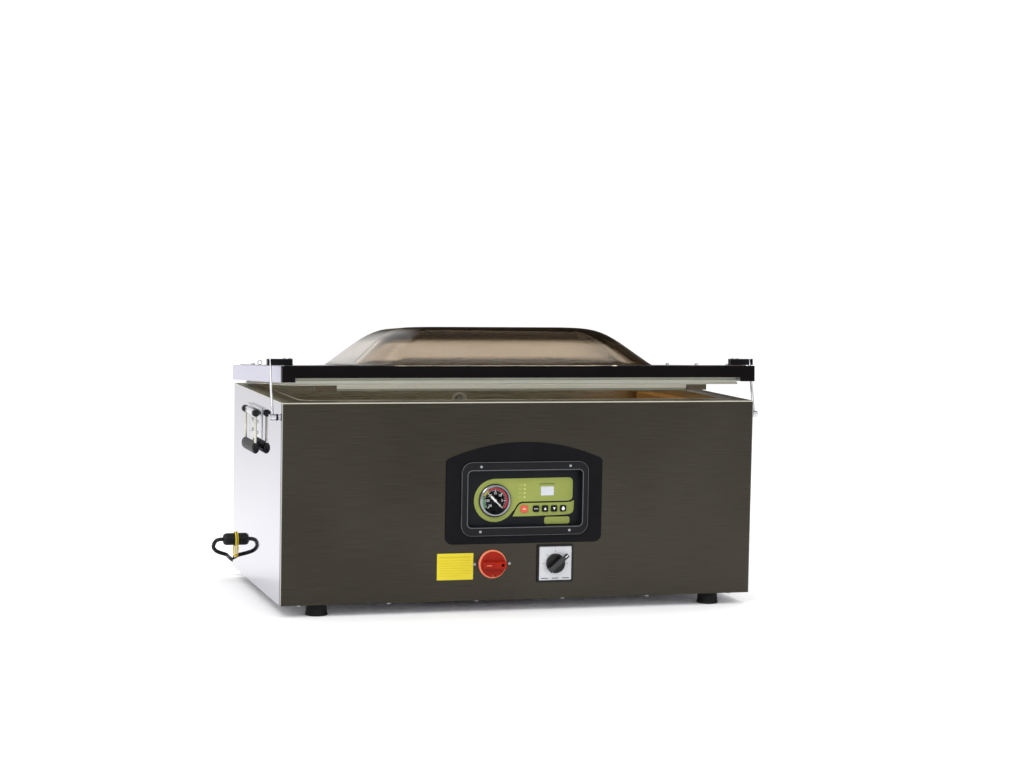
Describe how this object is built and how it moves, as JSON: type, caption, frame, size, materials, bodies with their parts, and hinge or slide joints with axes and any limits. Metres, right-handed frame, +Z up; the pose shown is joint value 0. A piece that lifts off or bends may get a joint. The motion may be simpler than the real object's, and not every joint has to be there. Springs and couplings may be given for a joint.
{
  "type": "vacuum sealer",
  "caption": "Tabletop chamber vacuum sealer with hinged domed clear lid, front control panel and carry handles.",
  "frame": {"origin": "on the standing surface, under the middle of the cabinet", "axes": "+X to the right seen from the front, +Y towards the back, +Z up; the front faces -Y"},
  "size_m": [1.0012, 0.6813, 0.5308],
  "materials": {
    "dark_steel": "brushed, dark reflection",
    "bright_steel": "bright polished sheet",
    "tub_steel": "polished tub",
    "black_rubber": "matt",
    "zinc": "plated",
    "white_plastic": "satin",
    "tan_board": "matt board",
    "black_plastic": "satin moulded",
    "overlay": "dark membrane",
    "gauge_black": "satin",
    "chrome_trim": "polished",
    "lens": "clear",
    "needle_white": "white",
    "grey_plastic": "moulded",
    "orange_plastic": "moulded",
    "red_plastic": "moulded",
    "plate_silver": "satin printed plate",
    "alloy": "milled",
    "tan_tape": "woven release tape",
    "black_alloy": "black anodised",
    "satin_alloy": "satin",
    "smoked_acrylic": "smoked clear",
    "silicone": "white silicone",
    "grey_silicone": "grey silicone",
    "brown_plastic": "moulded",
    "spring_steel": "wound wire",
    "cast_grey": "painted casting",
    "green_board": "circuit board",
    "cord_black": "flexible sheath",
    "yellow_tie": "cable tie"
  },
  "bodies": {
    "cabinet": {"back_panel": "bright_steel", "base_pan": "bright_steel", "bezel": "black_plastic", "cabinet_screws": "zinc", "chamber_tub": "tub_steel", "contact_blocks": "grey_plastic", "control_board": "green_board", "cord_coil": "cord_black", "cord_gland": "cord_black", "cord_tie": "yellow_tie", "feet": "black_rubber", "filler_board": "tan_board", "front_panel": "dark_steel", "gauge_case": "gauge_black", "gauge_lens": "lens", "gauge_ring": "chrome_trim", "handle_plates": "zinc", "hinge_brackets": "bright_steel", "hinge_pins": "zinc", "lid_springs": "spring_steel", "lift_cylinders": "alloy", "mains_plug": "cord_black", "overlay_plate": "overlay", "port_fitting": "white_plastic", "power_cord": "cord_black", "rod_pivots": "zinc", "selector_plate": "plate_silver", "side_panel_left": "bright_steel", "side_panel_right": "bright_steel", "solenoid_valve": "alloy", "switch_collar": "orange_plastic", "top_deck": "bright_steel", "transformer": "cast_grey", "vacuum_hose": "black_rubber", "vacuum_pump": "cast_grey", "window_frame": "black_plastic"},
    "lid": {"lid_front_bar": "black_alloy", "lid_frame": "satin_alloy", "acrylic_lid": "smoked_acrylic", "gasket": "silicone", "gasket_holder": "grey_silicone", "counter_bar": "white_plastic", "counter_strip": "silicone", "counter_end_blocks": "brown_plastic", "keeper_blocks": "black_plastic", "lid_arms": "satin_alloy"},
    "rod_left": {"hold_down_rod_left": "zinc"},
    "rod_right": {"hold_down_rod_right": "zinc"},
    "bail_left": {"handle_bail_left": "zinc"},
    "bail_right": {"handle_bail_right": "zinc"},
    "main_switch": {"main_knob": "red_plastic"},
    "selector": {"selector_knob": "black_plastic"},
    "seal_lift": {"seal_bar": "alloy", "seal_tape": "tan_tape"},
    "needle": {"gauge_needle": "needle_white"},
    "button_down": {"button_down": "black_plastic"},
    "button_hand": {"button_hand": "black_plastic"},
    "button_set": {"button_set": "black_plastic"},
    "button_stop": {"button_stop": "red_plastic"},
    "button_up": {"button_up": "black_plastic"}
  },
  "joints": [
    {"name": "lid_hinge", "type": "hinge", "parent": "cabinet", "child": "lid", "pos_m": [0, 0.268, 0.414], "axis": [-1, 0, 0], "range_deg": [-3.46, 52], "stiffness_Nm_per_rad": 14, "springref_deg": 83.08},
    {"name": "rod_left_swing", "type": "hinge", "parent": "cabinet", "child": "rod_left", "pos_m": [-0.4775, -0.226, 0.3705], "axis": [1, 0, 0], "range_deg": [0, 160]},
    {"name": "rod_right_swing", "type": "hinge", "parent": "cabinet", "child": "rod_right", "pos_m": [0.4775, -0.226, 0.3705], "axis": [1, 0, 0], "range_deg": [0, 160]},
    {"name": "bail_left_swing", "type": "hinge", "parent": "cabinet", "child": "bail_left", "pos_m": [-0.4756, 0.0085, 0.363], "axis": [0, 1, 0], "range_deg": [0, 85]},
    {"name": "bail_right_swing", "type": "hinge", "parent": "cabinet", "child": "bail_right", "pos_m": [0.4756, 0.0085, 0.363], "axis": [0, -1, 0], "range_deg": [0, 85]},
    {"name": "main_switch_turn", "type": "hinge", "parent": "cabinet", "child": "main_switch", "pos_m": [-0.0592, -0.26, 0.092], "axis": [0, 1, 0], "range_deg": [0, 90]},
    {"name": "selector_turn", "type": "hinge", "parent": "cabinet", "child": "selector", "pos_m": [0.0652, -0.26, 0.0905], "axis": [0, 1, 0], "range_deg": [-90, 45]},
    {"name": "seal_bar_lift", "type": "slide", "parent": "cabinet", "child": "seal_lift", "axis": [0, 0, 1], "range_m": [0, 0.01]},
    {"name": "gauge_needle_turn", "type": "hinge", "parent": "cabinet", "child": "needle", "pos_m": [-0.054, -0.25, 0.2115], "axis": [0, -1, 0], "range_deg": [0, 270], "stiffness_Nm_per_rad": 0.0004, "springref_deg": -17.19},
    {"name": "button_down_press", "type": "slide", "parent": "cabinet", "child": "button_down", "axis": [0, 1, 0], "range_m": [0, 0.001], "stiffness_N_per_m": 400, "springref_m": -0.002},
    {"name": "button_hand_press", "type": "slide", "parent": "cabinet", "child": "button_hand", "axis": [0, 1, 0], "range_m": [0, 0.001], "stiffness_N_per_m": 400, "springref_m": -0.002},
    {"name": "button_set_press", "type": "slide", "parent": "cabinet", "child": "button_set", "axis": [0, 1, 0], "range_m": [0, 0.001], "stiffness_N_per_m": 400, "springref_m": -0.002},
    {"name": "button_stop_press", "type": "slide", "parent": "cabinet", "child": "button_stop", "axis": [0, 1, 0], "range_m": [0, 0.001], "stiffness_N_per_m": 400, "springref_m": -0.002},
    {"name": "button_up_press", "type": "slide", "parent": "cabinet", "child": "button_up", "axis": [0, 1, 0], "range_m": [0, 0.001], "stiffness_N_per_m": 400, "springref_m": -0.002}
  ]
}
